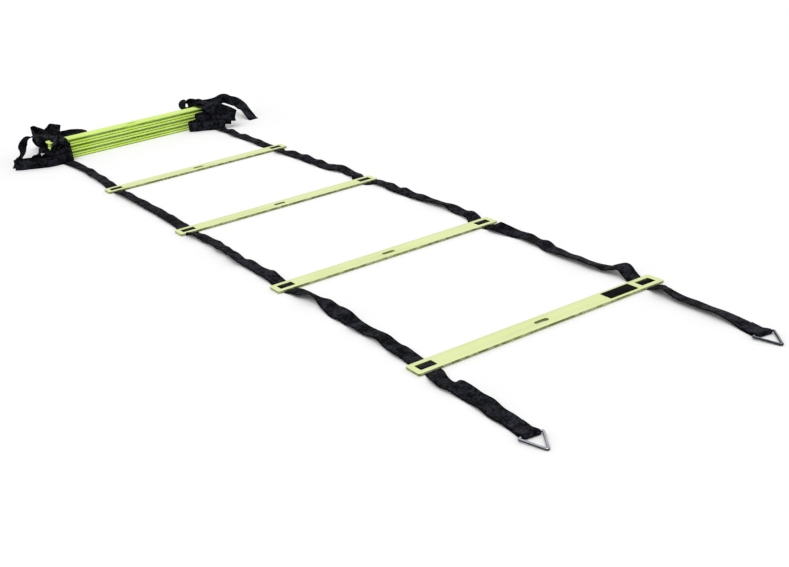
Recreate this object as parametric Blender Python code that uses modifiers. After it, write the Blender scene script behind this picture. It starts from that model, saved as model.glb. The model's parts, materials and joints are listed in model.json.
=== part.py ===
# Agility ladder: flat plastic slats carried by two webbing straps, part laid out and part stacked.
# Metres, +Z up. X runs along the slats and Y along the ladder, away from its ring end.
# The floor is Z = 0, and the origin lies on it under the middle of the ladder.

import math

import bmesh
import bpy
from mathutils import Vector

# The ladder as a whole
RUNG_COUNT = 11
LAID_COUNT = 4
RUNG_PITCH = 0.406
FIT_GAP = 0.0003
CUT_OVERRUN = 0.0002

# Slat
SLAT_LENGTH = 0.430
SLAT_WIDTH = 0.034
SLAT_THICKNESS = 0.003
SLAT_CORNER_RADIUS = 0.003
CENTRE_SLOT_LENGTH = 0.024
CENTRE_SLOT_WIDTH = 0.009

# Strap, and its way through the slots at a slat's end
STRAP_WIDTH = 0.025
STRAP_THICKNESS = 0.0015
STRAP_INSET = 0.022
STRAP_RIPPLE = 0.004
SLOT_WIDTH = 0.0045
SLOT_END_GAP = 0.0005
BRIDGE_WIDTH = 0.008
STRAP_BEND_RADIUS = 0.0012

# Label on the first slat
LABEL_LENGTH = 0.052
LABEL_WIDTH = 0.024
LABEL_THICKNESS = 0.0004
LABEL_TO_SLOT = 0.011

# Tails with rings, at the near end
TAIL_LENGTH = 0.220
TAIL_SEAM_LENGTH = 0.030
TAIL_SEAM_GAP = 0.0004
TAIL_SIDESTEP = {"left": -0.013, "right": -0.019}
RING_WIRE = 0.0036
RING_SPARE = 0.009
RING_HEIGHT = 0.039
RING_CORNER_RADIUS = 0.0025

# Stack of folded bays, at the far end
PAIR_GAP = 0.0019
LAYER_GAP = 0.0021
NEAR_TURN = 0.014
SETTLE_LENGTH = 0.008
FRONT_FOLD_GAP = 0.0012
LEAD_CLEARANCE = 0.010
FAR_TAIL_REACH = 0.100
far_turn_shares = (1.03, 0.97)
settle_share = 0.25
ripple_shares = ((0.0, 0), (0.3, 0), (0.5, 1), (0.7, 0), (1.0, 0))
seam_start_share = 0.33
seam_slope_share = 1.3
fold_drift_shares = (0.7, 0.8, -1.7, 0.4, -0.9, 1.1)
back_turn_shares = (0.97, 1.0, 0.93)
stack_shift_shares = (0.0, 0.05, -0.05, 0.08, -0.03, 0.06, -0.08)
stack_step_shares = (-0.24, -0.15, -0.19, -0.06, -0.10, 0.03, 0.08)

# Where the pieces meet
SLAT_BASE = STRAP_THICKNESS + FIT_GAP
SLAT_TOP = SLAT_BASE + SLAT_THICKNESS
STRAP_MIDDLE = STRAP_THICKNESS / 2
STRAP_X = SLAT_LENGTH / 2 - STRAP_INSET
SLOT_LENGTH = STRAP_WIDTH + 2 * SLOT_END_GAP
AXIS_OUT = SLAT_WIDTH / 2 + FIT_GAP
STRAP_START = AXIS_OUT + FIT_GAP / 2
SLAT_STRAP_END = AXIS_OUT - FIT_GAP / 2
PAIR_PITCH = 2 * SLAT_THICKNESS + PAIR_GAP + 2 * STRAP_THICKNESS + 2 * FIT_GAP + LAYER_GAP
FOLD_REACH = (RUNG_PITCH - SLAT_WIDTH + 2 * NEAR_TURN) / 4
BACK_REACH = (RUNG_PITCH - SLAT_WIDTH) / 2
LEAD_LENGTH = FOLD_REACH * max(far_turn_shares) + LEAD_CLEARANCE
RING_BASE = STRAP_WIDTH + RING_SPARE
BAR_HEIGHT = STRAP_THICKNESS + FIT_GAP + RING_WIRE / 2
NEAR_END = AXIS_OUT + TAIL_LENGTH + RING_HEIGHT + RING_WIRE / 2
FAR_END = LAID_COUNT * RUNG_PITCH + SLAT_WIDTH / 2 + BACK_REACH * max(back_turn_shares)
FIRST_RUNG_Y = -(FAR_END - NEAR_END) / 2
STACK_Y = FIRST_RUNG_Y + LAID_COUNT * RUNG_PITCH
SIDES = {"left": -1, "right": 1}


def clear_scene():
    for obj in list(bpy.data.objects):
        bpy.data.objects.remove(obj, do_unlink=True)


def new_collection(name):
    collection = bpy.data.collections.new(name)
    bpy.context.scene.collection.children.link(collection)
    return collection


def new_material(name, colour, roughness, metallic=0.0):
    material = bpy.data.materials.new(name)
    material.use_nodes = True
    shader = material.node_tree.nodes["Principled BSDF"]
    shader.inputs["Base Color"].default_value = (*colour, 1.0)
    shader.inputs["Roughness"].default_value = roughness
    shader.inputs["Metallic"].default_value = metallic
    return material


def rounded(points, radius, steps=4, closed=False):
    # A line of 2D points with each corner turned into an arc, as large as its two legs allow.
    points = [Vector(p) for p in points]
    count = len(points)
    line = []
    for i, corner in enumerate(points):
        if not closed and i in (0, count - 1):
            line.append(corner)
            continue
        before = points[i - 1] - corner
        after = points[(i + 1) % count] - corner
        turn = math.pi - before.angle(after)
        if turn < math.radians(0.5):
            line.append(corner)
            continue
        reach = min(radius * math.tan(turn / 2), before.length / 2, after.length / 2)
        first = corner + before.normalized() * reach
        last = corner + after.normalized() * reach
        arc = reach / math.tan(turn / 2)
        middle = (before.normalized() + after.normalized()).normalized()
        centre = corner + middle * (arc / math.cos(turn / 2))
        spread = first - centre
        sense = 1 if before.cross(after) < 0 else -1
        for k in range(steps + 1):
            angle = sense * turn * k / steps
            line.append(centre + Vector((
                spread.x * math.cos(angle) - spread.y * math.sin(angle),
                spread.x * math.sin(angle) + spread.y * math.cos(angle),
            )))
        line[-1] = last
    return line


def without_repeats(line, closed=False):
    kept = [line[0]]
    for point in line[1:]:
        if (point - kept[-1]).length > FIT_GAP / 10:
            kept.append(point)
    if closed and (kept[-1] - kept[0]).length <= FIT_GAP / 10:
        kept.pop()
    return kept


def box(name, size, centre):
    mesh = bpy.data.meshes.new(name)
    shape = bmesh.new()
    bmesh.ops.create_cube(shape, size=1.0)
    bmesh.ops.scale(shape, vec=Vector(size), verts=shape.verts)
    bmesh.ops.translate(shape, vec=Vector(centre), verts=shape.verts)
    shape.to_mesh(mesh)
    shape.free()
    return bpy.data.objects.new(name, mesh)


def strip(name, stations):
    # A band of webbing. Each station is the centre of the band and the direction across it.
    shape = bmesh.new()
    count = len(stations)
    bmesh.ops.create_grid(shape, x_segments=count - 1, y_segments=1, size=0.5)
    for vert in shape.verts:
        centre, across = stations[round((vert.co.x + 0.5) * (count - 1))]
        vert.co = centre + across * (STRAP_WIDTH * vert.co.y)
    mesh = bpy.data.meshes.new(name)
    shape.to_mesh(mesh)
    shape.free()
    band = bpy.data.objects.new(name, mesh)
    solid = band.modifiers.new("Thickness", "SOLIDIFY")
    solid.thickness = STRAP_THICKNESS
    solid.offset = 0.0
    solid.use_even_offset = True
    return band


def side_view_strip(name, profile, x_at):
    # A band drawn from the side: the profile holds its (y, z) points, and x_at places it along X.
    across = Vector((1.0, 0.0, 0.0))
    line = without_repeats(profile)
    lengths = [0.0]
    for a, b in zip(line, line[1:]):
        lengths.append(lengths[-1] + (b - a).length)
    stations = []
    for point, length in zip(line, lengths):
        x = x_at(point.x, length / lengths[-1])
        stations.append((Vector((x, point.x, point.y)), across))
    return strip(name, stations)


def slat_outline(half_length, half_width, radius):
    corners = [
        (-half_length, -half_width),
        (half_length, -half_width),
        (half_length, half_width),
        (-half_length, half_width),
    ]
    return without_repeats(rounded(corners, radius, closed=True), closed=True)


def window_cuts():
    # For each end of a slat: two slots right through, and a lowered bridge between them.
    slot_size = (SLOT_LENGTH, SLOT_WIDTH, 2 * SLAT_THICKNESS)
    slot_middle = (BRIDGE_WIDTH + SLOT_WIDTH) / 2
    recess_depth = STRAP_THICKNESS + FIT_GAP
    recess_size = (SLOT_LENGTH + 2 * CUT_OVERRUN, BRIDGE_WIDTH + SLOT_WIDTH, 2 * recess_depth)
    cuts = []
    for label, end in SIDES.items():
        x = end * STRAP_X
        cuts.append(box("slot_front_" + label, slot_size, (x, -slot_middle, 0.0)))
        cuts.append(box("slot_back_" + label, slot_size, (x, slot_middle, 0.0)))
        cuts.append(box("bridge_recess_" + label, recess_size, (x, 0.0, SLAT_THICKNESS / 2)))
    return cuts


def slat_mesh(cutters):
    # One slat about its own centre: a flat outline with its slots, and a lowered bridge at each end.
    outlines = [
        slat_outline(SLAT_LENGTH / 2, SLAT_WIDTH / 2, SLAT_CORNER_RADIUS),
        slat_outline(CENTRE_SLOT_LENGTH / 2, CENTRE_SLOT_WIDTH / 2, CENTRE_SLOT_WIDTH / 2),
    ]
    curve = bpy.data.curves.new("slat", "CURVE")
    curve.dimensions = "2D"
    curve.fill_mode = "BOTH"
    curve.extrude = SLAT_THICKNESS / 2
    for outline in outlines:
        spline = curve.splines.new("POLY")
        spline.points.add(len(outline) - 1)
        for place, point in zip(spline.points, outline):
            place.co = (point.x, point.y, 0.0, 1.0)
        spline.use_cyclic_u = True
    blank = bpy.data.objects.new("slat_blank", curve)
    bpy.context.scene.collection.objects.link(blank)
    bpy.context.view_layer.update()
    graph = bpy.context.evaluated_depsgraph_get()
    mesh = bpy.data.meshes.new_from_object(blank.evaluated_get(graph))
    bpy.data.objects.remove(blank, do_unlink=True)
    shape = bmesh.new()
    shape.from_mesh(mesh)
    bmesh.ops.remove_doubles(shape, verts=shape.verts, dist=FIT_GAP / 10)
    shape.to_mesh(mesh)
    shape.free()

    plain = bpy.data.objects.new("slat_plain", mesh)
    bpy.context.scene.collection.objects.link(plain)
    for cutter in window_cuts():
        cutter.hide_render = True
        cutter.display_type = "WIRE"
        cutters.objects.link(cutter)
        cut = plain.modifiers.new(cutter.name, "BOOLEAN")
        cut.operation = "DIFFERENCE"
        cut.solver = "EXACT"
        cut.object = cutter
    bpy.context.view_layer.update()
    graph = bpy.context.evaluated_depsgraph_get()
    finished = bpy.data.meshes.new_from_object(plain.evaluated_get(graph))
    bpy.data.objects.remove(plain, do_unlink=True)
    finished.name = "slat"
    return finished


def stack_bottom(i):
    # Height of the underside of stacked slat i. Each pair lies face to face, with straps between pairs.
    return SLAT_BASE + (i // 2) * PAIR_PITCH + (i % 2) * (SLAT_THICKNESS + PAIR_GAP)


def stack_level(i):
    # Height of the strap's middle where it leaves stacked slat i: below an upright slat, above a turned one.
    if i % 2:
        return stack_bottom(i) + SLAT_THICKNESS + FIT_GAP + STRAP_MIDDLE
    return stack_bottom(i) - FIT_GAP - STRAP_MIDDLE


def stack_y(i):
    # The middle of stacked slat i along the ladder: the slats lie a little forward or back of each other.
    return STACK_Y + stack_step_shares[i] * SLAT_WIDTH


def weave(y, bottom, turned, sense):
    # The strap's way through a slat's window, from one long edge of the slat to the other.
    level = bottom - FIT_GAP - STRAP_MIDDLE
    over = bottom + SLAT_THICKNESS - STRAP_MIDDLE
    if turned:
        level = bottom + SLAT_THICKNESS + FIT_GAP + STRAP_MIDDLE
        over = bottom + STRAP_MIDDLE
    slot_middle = (BRIDGE_WIDTH + SLOT_WIDTH) / 2
    foot = slot_middle + abs(over - level) / 2
    crest = slot_middle - abs(over - level) / 2
    places = [
        (-SLAT_STRAP_END, level),
        (-foot, level),
        (-crest, over),
        (crest, over),
        (foot, level),
        (SLAT_STRAP_END, level),
    ]
    return [(y + sense * place, height) for place, height in places]


def fold_reach(i):
    # How far the strap of stacked bay i stands out: one long loop behind, four short layers in front.
    return FOLD_REACH if i % 2 else BACK_REACH


def fold(i, side):
    # The strap of stacked bay i beside the stack, from slat i to slat i + 1.
    low, high = stack_level(i), stack_level(i + 1)
    first, last = side * (stack_y(i) - STACK_Y), side * (stack_y(i + 1) - STACK_Y)
    if i % 2 == 0:
        out = SLAT_WIDTH / 2 + BACK_REACH * back_turn_shares[i // 2 % len(back_turn_shares)]
        places = [
            (first + STRAP_START, low),
            (out, low),
            (out, high),
            (last + STRAP_START + SETTLE_LENGTH, high),
        ]
        return [(STACK_Y + side * place, height) for place, height in places]
    spacing = (PAIR_PITCH - STRAP_THICKNESS - FRONT_FOLD_GAP) / 3
    middle = (low + high) / 2
    layers = [middle + (k - 1.5) * spacing for k in range(4)]
    out = [SLAT_WIDTH / 2 + FOLD_REACH * share for share in far_turn_shares]
    near = SLAT_WIDTH / 2 + NEAR_TURN
    places = [
        (first + STRAP_START, low),
        (first + STRAP_START + SETTLE_LENGTH * settle_share, low),
        (first + STRAP_START + SETTLE_LENGTH, layers[0]),
        (out[0], layers[0]),
        (out[0], layers[1]),
        (near, layers[1]),
        (near, layers[2]),
        (out[1], layers[2]),
        (out[1], layers[3]),
        (last + STRAP_START + SETTLE_LENGTH, layers[3]),
        (last + STRAP_START + SETTLE_LENGTH * settle_share, high),
    ]
    return [(STACK_Y + side * place, height) for place, height in places]


def least_gap(line):
    # The least clear distance between two layers of one folded band, measured on its points.
    line = without_repeats(line)
    lengths = [0.0]
    for a, b in zip(line, line[1:]):
        lengths.append(lengths[-1] + (b - a).length)
    least = RUNG_PITCH
    for i, point in enumerate(line):
        for k in range(len(line) - 1):
            a, b = line[k], line[k + 1]
            apart = min(abs(lengths[k] - lengths[i]), abs(lengths[k + 1] - lengths[i]))
            if apart < SETTLE_LENGTH:
                continue
            along = (b - a).normalized()
            reach = min(max((point - a).dot(along), 0.0), (b - a).length)
            least = min(least, (point - a - along * reach).length - STRAP_THICKNESS)
    return least


def laid_strip(name, side, start, end):
    # Half a bay of strap on the floor, with one low ripple.
    span = end - start
    profile = []
    for share, lift in ripple_shares:
        profile.append((start + span * share, STRAP_MIDDLE + STRAP_RIPPLE * lift))
    line = rounded(profile, STRAP_INSET, steps=3)
    return side_view_strip(name, line, lambda y, share: side * STRAP_X)


def tail_place(label, distance):
    # Middle of a near tail in plan, and the direction across it, at a distance from the first slat.
    step = TAIL_SIDESTEP[label]
    x = SIDES[label] * STRAP_X + step * (distance / TAIL_LENGTH) ** 2
    slope = 2 * step * distance / TAIL_LENGTH ** 2
    across = Vector((1.0, slope, 0.0)).normalized()
    return x, FIRST_RUNG_Y - AXIS_OUT - distance, across


def near_tail(label):
    # Along the floor, round the ring's bar, and back over itself where it is sewn.
    wrap = RING_WIRE / 2 + FIT_GAP + STRAP_MIDDLE
    top = BAR_HEIGHT + wrap
    seam = STRAP_MIDDLE + STRAP_THICKNESS + TAIL_SEAM_GAP
    crest = TAIL_LENGTH - wrap * seam_start_share
    foot = crest - (top - seam) * seam_slope_share
    profile = rounded(
        [
            (FIT_GAP / 2, STRAP_MIDDLE),
            (TAIL_LENGTH / 2, STRAP_MIDDLE),
            (TAIL_LENGTH + wrap, STRAP_MIDDLE),
            (TAIL_LENGTH + wrap, top),
            (crest, top),
            (foot, seam),
            (foot - TAIL_SEAM_LENGTH, seam),
        ],
        wrap,
        steps=6,
    )
    stations = []
    for point in without_repeats(profile):
        x, y, across = tail_place(label, point.x)
        stations.append((Vector((x, y, point.y)), across))
    return strip("near_tail_" + label, stations)


def ring(label):
    # A bent wire triangle whose straight bar lies in the tail's loop, and whose tip lies on the floor.
    corners = [(-RING_BASE / 2, 0.0), (0.0, -RING_HEIGHT), (RING_BASE / 2, 0.0)]
    curve = bpy.data.curves.new("ring_" + label, "CURVE")
    curve.dimensions = "3D"
    curve.bevel_depth = RING_WIRE / 2
    curve.bevel_resolution = 2
    line = without_repeats(rounded(corners, RING_CORNER_RADIUS, steps=5, closed=True), closed=True)
    spline = curve.splines.new("POLY")
    spline.points.add(len(line) - 1)
    for place, point in zip(spline.points, line):
        place.co = (point.x, point.y, 0.0, 1.0)
    spline.use_cyclic_u = True
    wire = bpy.data.objects.new("ring_" + label, curve)
    x, y, across = tail_place(label, TAIL_LENGTH)
    wire.location = (x, y, BAR_HEIGHT)
    droop = math.asin((BAR_HEIGHT - RING_WIRE / 2) / RING_HEIGHT)
    wire.rotation_euler = (droop, 0.0, math.atan2(across.y, across.x))
    return wire


def smooth_line(points, steps=4):
    # A smooth line through every point.
    line = []
    for i in range(len(points) - 1):
        before = points[max(i - 1, 0)]
        a, b = points[i], points[i + 1]
        after = points[min(i + 2, len(points) - 1)]
        for k in range(steps):
            t = k / steps
            line.append(
                0.5 * (2 * a + (b - before) * t + (2 * before - 5 * a + 4 * b - after) * t ** 2
                       + (3 * a - before - 3 * b + after) * t ** 3)
            )
    line.append(points[-1])
    return line


# Far tails, as shares of their reach: outwards, away from the stack, and up from where they start
far_root_shares = {
    "left": (
        (0.0, 0.0, 0.0), (0.0, 0.10, 0.01), (0.04, 0.23, 0.03), (0.15, 0.34, 0.05),
        (0.32, 0.38, 0.06),
    ),
    "right": (
        (0.0, 0.0, 0.0), (0.0, 0.10, 0.01), (0.03, 0.24, 0.05), (0.13, 0.35, 0.09),
        (0.30, 0.39, 0.12),
    ),
}
far_end_shares = {
    "left": (
        (0.32, 0.38, 0.06), (0.46, 0.38, 0.06), (0.64, 0.36, 0.04), (0.82, 0.27, -0.04),
        (0.93, 0.10, -0.16), (0.99, -0.10, -0.29), (1.02, -0.27, -0.38), (1.04, -0.41, -0.41),
        (1.04, -0.56, -0.41),
    ),
    "right": (
        (0.30, 0.39, 0.12), (0.44, 0.39, 0.14), (0.62, 0.36, 0.16), (0.78, 0.25, 0.14),
        (0.90, 0.06, 0.05), (0.97, -0.16, -0.07), (1.02, -0.42, -0.22), (1.04, -0.68, -0.36),
        (1.04, -0.84, -0.41), (1.04, -1.0, -0.41),
    ),
}


def far_tail_place(label, out, away, up):
    # A place on a far tail, from where it leaves the topmost slat.
    top = RUNG_COUNT - LAID_COUNT - 1
    x = SIDES[label] * (STRAP_X + FAR_TAIL_REACH * out) + stack_shift(top)
    return x, stack_y(top) + STRAP_START + FAR_TAIL_REACH * away, stack_level(top) + FAR_TAIL_REACH * up


def far_tail(name, label, shares, start_gap, square):
    # A piece of the strap's free far end, no lower than the floor.
    # Square holds the direction across the strap where it meets its neighbour.
    points = []
    for out, away, up in shares:
        x, y, z = far_tail_place(label, out, away, up)
        points.append(Vector((x, y, max(z, STRAP_MIDDLE))))
    points[0] += (points[1] - points[0]).normalized() * start_gap
    line = smooth_line(points)
    stations = []
    for i, point in enumerate(line):
        heading = line[min(i + 1, len(line) - 1)] - line[max(i - 1, 0)]
        across = heading.cross(Vector((0.0, 0.0, 1.0))).normalized()
        stations.append([point, across])
    for i, across in square.items():
        stations[i][1] = across
    return strip(name, stations)


class Ladder:
    # Gathers the named pieces and hangs each from the empty on its joint's axis.

    def __init__(self):
        self.parts = new_collection("agility_ladder")
        self.cutters = new_collection("cutters")
        self.axes = {}
        self.materials = {
            "slat": new_material("slat_yellow_green", (0.76, 0.87, 0.38), 0.45),
            "strap": new_material("strap_black", (0.016, 0.017, 0.022), 0.85),
            "label": new_material("label_black", (0.008, 0.008, 0.008), 0.6),
            "steel": new_material("ring_steel", (0.55, 0.57, 0.58), 0.25, 1.0),
        }

    def axis(self, name, place, parent=None):
        empty = bpy.data.objects.new(name + "_axis", None)
        empty.empty_display_size = STRAP_WIDTH
        self.parts.objects.link(empty)
        place = Vector(place)
        empty.location = place
        if parent:
            above, origin = self.axes[parent]
            empty.parent = above
            empty.location = place - origin
        self.axes[name] = (empty, place)
        return name

    def add(self, piece, material, axis):
        self.parts.objects.link(piece)
        if not piece.data.materials:
            piece.data.materials.append(self.materials[material])
        empty, origin = self.axes[axis]
        piece.parent = empty
        piece.location = piece.location - origin
        return piece


def stack_shift(i):
    return stack_shift_shares[i] * STRAP_WIDTH


def build_laid_rung(ladder, number, slat, axis):
    y = FIRST_RUNG_Y + (number - 1) * RUNG_PITCH
    rung = bpy.data.objects.new("rung_%02d" % number, slat)
    rung.location = (0.0, y, SLAT_BASE + SLAT_THICKNESS / 2)
    ladder.add(rung, "slat", axis)
    for label, side in SIDES.items():
        name = "strap_%s_rung_%02d" % (label, number)
        line = rounded(weave(y, SLAT_BASE, False, 1), STRAP_BEND_RADIUS)
        ladder.add(side_view_strip(name, line, lambda y, share: side * STRAP_X), "strap", axis)
    return y


def build_bay(ladder, number, near_y, far_y, parent):
    # The far half of a bay stays with the slat beyond it. The near half lifts about the crease between
    # them, on the strap's upper side, and the next slat turns down about the strap's lower side.
    crease = (near_y + far_y) / 2
    near_axis = ladder.axis("bay_%02d_near" % number, (0.0, crease, STRAP_THICKNESS), parent)
    rung_axis = ladder.axis("rung_%02d" % number, (0.0, near_y, 0.0), near_axis)
    half = FIT_GAP / 2
    for label, side in SIDES.items():
        name = "strap_%s_bay_%02d" % (label, number)
        ladder.add(laid_strip(name + "_far", side, crease + half, far_y - half), "strap", parent)
        ladder.add(laid_strip(name + "_near", side, near_y + half, crease - half), "strap", near_axis)
    return rung_axis


def build_stack_base(ladder, slat):
    # The lowest stacked slat, and the strap that leads out from under the folds in front of it.
    axis = ladder.axis("stack_base", (0.0, STACK_Y, 0.0))
    number = LAID_COUNT + 1
    rung = bpy.data.objects.new("rung_%02d" % number, slat)
    rung.location = (stack_shift(0), stack_y(0), stack_bottom(0) + SLAT_THICKNESS / 2)
    ladder.add(rung, "slat", axis)
    for label, side in SIDES.items():
        places = weave(stack_y(0), stack_bottom(0), False, 1)
        lead_end = (STACK_Y - AXIS_OUT - LEAD_LENGTH + FIT_GAP / 2, places[0][1])
        line = rounded([lead_end] + places[1:], STRAP_BEND_RADIUS)
        name = "strap_%s_rung_%02d" % (label, number)
        ladder.add(side_view_strip(name, line, lambda y, share: side * STRAP_X), "strap", axis)
    return axis


def folded_line(i):
    # The folded strap below stacked slat i, and its way through that slat's window.
    turned = i % 2 == 1
    side = 1 if turned else -1
    through = weave(stack_y(i), stack_bottom(i), turned, -side)
    return rounded(fold(i - 1, side), NEAR_TURN, steps=6)[:-1] + rounded(through, STRAP_BEND_RADIUS)


def build_stacked_rung(ladder, i, slat, parent):
    # A slat of the stack with the folded strap that joins it to the slat below.
    number = LAID_COUNT + 1 + i
    bottom = stack_bottom(i)
    axis = ladder.axis("rung_%02d" % number, (0.0, STACK_Y, bottom), parent)
    rung = bpy.data.objects.new("rung_%02d" % number, slat)
    rung.location = (stack_shift(i), stack_y(i), bottom + SLAT_THICKNESS / 2)
    rung.rotation_euler.x = math.pi if i % 2 else 0.0
    ladder.add(rung, "slat", axis)
    line = folded_line(i)
    for label, side in SIDES.items():
        drift = side * fold_drift_shares[i - 1] * STRAP_WIDTH
        below, here = stack_shift(i - 1), stack_shift(i)

        def x_at(y, share):
            out = max(abs(y - STACK_Y) - STRAP_START, 0.0) / fold_reach(i - 1)
            return side * STRAP_X + below + (here - below) * min(share * 2, 1.0) + drift * out ** 2

        name = "strap_%s_bay_%02d" % (label, number - 1)
        ladder.add(side_view_strip(name, line, x_at), "strap", axis)
    return axis


def build_far_tails(ladder, parent):
    for label, side in SIDES.items():
        name = "far_tail_" + label
        along = Vector((1.0, 0.0, 0.0))
        outward = Vector((0.0, -side, 0.0))
        root = far_tail(name + "_root", label, far_root_shares[label], 0.0, {0: along, -1: outward})
        ladder.add(root, "strap", parent)
        x, y, z = far_tail_place(label, *far_end_shares[label][0])
        axis = ladder.axis(name + "_end", (x, y, z + STRAP_MIDDLE), parent)
        end = far_tail(name + "_end", label, far_end_shares[label], FIT_GAP, {0: outward})
        ladder.add(end, "strap", axis)


def build_label(ladder, axis):
    right = STRAP_X - SLOT_LENGTH / 2 - LABEL_TO_SLOT
    centre = (right - LABEL_LENGTH / 2, FIRST_RUNG_Y, SLAT_TOP + FIT_GAP + LABEL_THICKNESS / 2)
    ladder.add(box("label", (LABEL_LENGTH, LABEL_WIDTH, LABEL_THICKNESS), centre), "label", axis)


def build_near_tails(ladder, parent):
    for label in SIDES:
        place = (0.0, FIRST_RUNG_Y - AXIS_OUT, STRAP_THICKNESS)
        axis = ladder.axis("near_tail_" + label, place, parent)
        ladder.add(near_tail(label), "strap", axis)
        wire = ring(label)
        ring_axis = ladder.axis("ring_" + label, wire.location.copy(), axis)
        ladder.add(wire, "steel", ring_axis)


def build():
    clear_scene()
    ladder = Ladder()
    slat = slat_mesh(ladder.cutters)
    slat.materials.append(ladder.materials["slat"])
    base = build_stack_base(ladder, slat)
    axis = base
    for i in range(1, RUNG_COUNT - LAID_COUNT):
        axis = build_stacked_rung(ladder, i, slat, axis)
    build_far_tails(ladder, axis)
    axis = base
    far_y = STACK_Y - AXIS_OUT - LEAD_LENGTH
    for number in range(LAID_COUNT, 0, -1):
        y = FIRST_RUNG_Y + (number - 1) * RUNG_PITCH
        axis = build_bay(ladder, number, y + AXIS_OUT, far_y, axis)
        build_laid_rung(ladder, number, slat, axis)
        far_y = y - AXIS_OUT
    build_label(ladder, axis)
    build_near_tails(ladder, axis)
    gaps = [least_gap(folded_line(i)) for i in range(1, RUNG_COUNT - LAID_COUNT)]
    print("least gap between the layers of a folded strap: %.2f mm" % (min(gaps) * 1000))


build()
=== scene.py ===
import json
import math

import bmesh
import bpy
import numpy as np
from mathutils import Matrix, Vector, noise


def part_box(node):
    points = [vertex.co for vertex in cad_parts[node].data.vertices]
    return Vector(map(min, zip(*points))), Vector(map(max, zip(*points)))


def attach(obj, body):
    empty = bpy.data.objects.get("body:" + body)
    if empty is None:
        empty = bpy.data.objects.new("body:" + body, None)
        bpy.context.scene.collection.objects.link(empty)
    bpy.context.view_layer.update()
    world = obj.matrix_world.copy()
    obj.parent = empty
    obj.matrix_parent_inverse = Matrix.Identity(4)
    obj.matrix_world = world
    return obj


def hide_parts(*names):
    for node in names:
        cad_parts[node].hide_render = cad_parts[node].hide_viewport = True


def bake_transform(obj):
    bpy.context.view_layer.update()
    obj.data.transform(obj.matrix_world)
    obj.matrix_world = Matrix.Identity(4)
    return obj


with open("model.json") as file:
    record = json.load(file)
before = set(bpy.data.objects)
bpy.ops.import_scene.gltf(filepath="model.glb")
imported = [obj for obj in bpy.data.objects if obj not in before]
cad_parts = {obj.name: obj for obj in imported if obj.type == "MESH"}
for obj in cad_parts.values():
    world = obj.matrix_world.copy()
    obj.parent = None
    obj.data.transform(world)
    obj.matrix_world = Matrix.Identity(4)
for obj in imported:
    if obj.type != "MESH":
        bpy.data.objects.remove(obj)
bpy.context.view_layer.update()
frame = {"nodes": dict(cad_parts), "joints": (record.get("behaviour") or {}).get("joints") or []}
scene = bpy.context.scene
mm = 0.001
sides = {"left": -1, "right": 1}
ladder = {"slats": 11, "base": 5}  # the slats below base are laid out, the others are the stack


def slatNode(number):
    return "rung_%02d" % number


def slatCentre(number):
    low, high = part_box(slatNode(number))
    return (Vector(low) + Vector(high)) / 2


# The photograph's viewpoint, from the middle of the first slat's top
viewpoint = {
    "lens": 53.105,
    "sensor": 36.0,
    "clip": 0.01,
    "turn": (1.194074, 0.112961, -0.558870),
    "place": (-0.895465, -1.186617, 0.660419),
}
firstY = slatCentre(1).y
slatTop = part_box(slatNode(1))[1][2]


def placeCamera():
    camera = bpy.data.objects.new("camera", bpy.data.cameras.new("camera"))
    scene.collection.objects.link(camera)
    camera.data.lens = viewpoint["lens"]
    camera.data.sensor_width = viewpoint["sensor"]
    camera.data.clip_start = viewpoint["clip"]
    camera.rotation_euler = viewpoint["turn"]
    camera.location = Vector(viewpoint["place"]) + Vector((0.0, firstY, slatTop))
    scene.camera = camera


placeCamera()
print("camera placed")


# Shader maths as plain expressions
class Value:
    def __init__(self, paint, socket):
        self.paint = paint
        self.socket = socket

    def maths(self, operation, *values):
        made = self.paint.node("Math", {"operation": operation}, *values)
        return Value(self.paint, made.outputs[0])

    def __add__(self, other):
        return self.maths("ADD", self, other)

    def __sub__(self, other):
        return self.maths("SUBTRACT", self, other)

    def __mul__(self, other):
        return self.maths("MULTIPLY", self, other)

    def __truediv__(self, other):
        return self.maths("DIVIDE", self, other)

    def __pow__(self, other):
        return self.maths("POWER", self, other)

    def __mod__(self, other):
        return self.maths("FLOORED_MODULO", self, other)

    def __radd__(self, other):
        return self.maths("ADD", other, self)

    def __rsub__(self, other):
        return self.maths("SUBTRACT", other, self)

    def __rmul__(self, other):
        return self.maths("MULTIPLY", other, self)

    def sin(self):
        return self.maths("SINE", self)

    def floor(self):
        return self.maths("FLOOR", self)

    def size(self):
        return self.maths("ABSOLUTE", self)

    def least(self, other):
        return self.maths("MINIMUM", self, other)

    def step(self, low, high):
        # 0 below low, 1 above high, smooth between
        ranged = self.paint.node(
            "MapRange", {"interpolation_type": "SMOOTHSTEP"}, self, low, high, 0.0, 1.0
        )
        return Value(self.paint, ranged.outputs[0])


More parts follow.
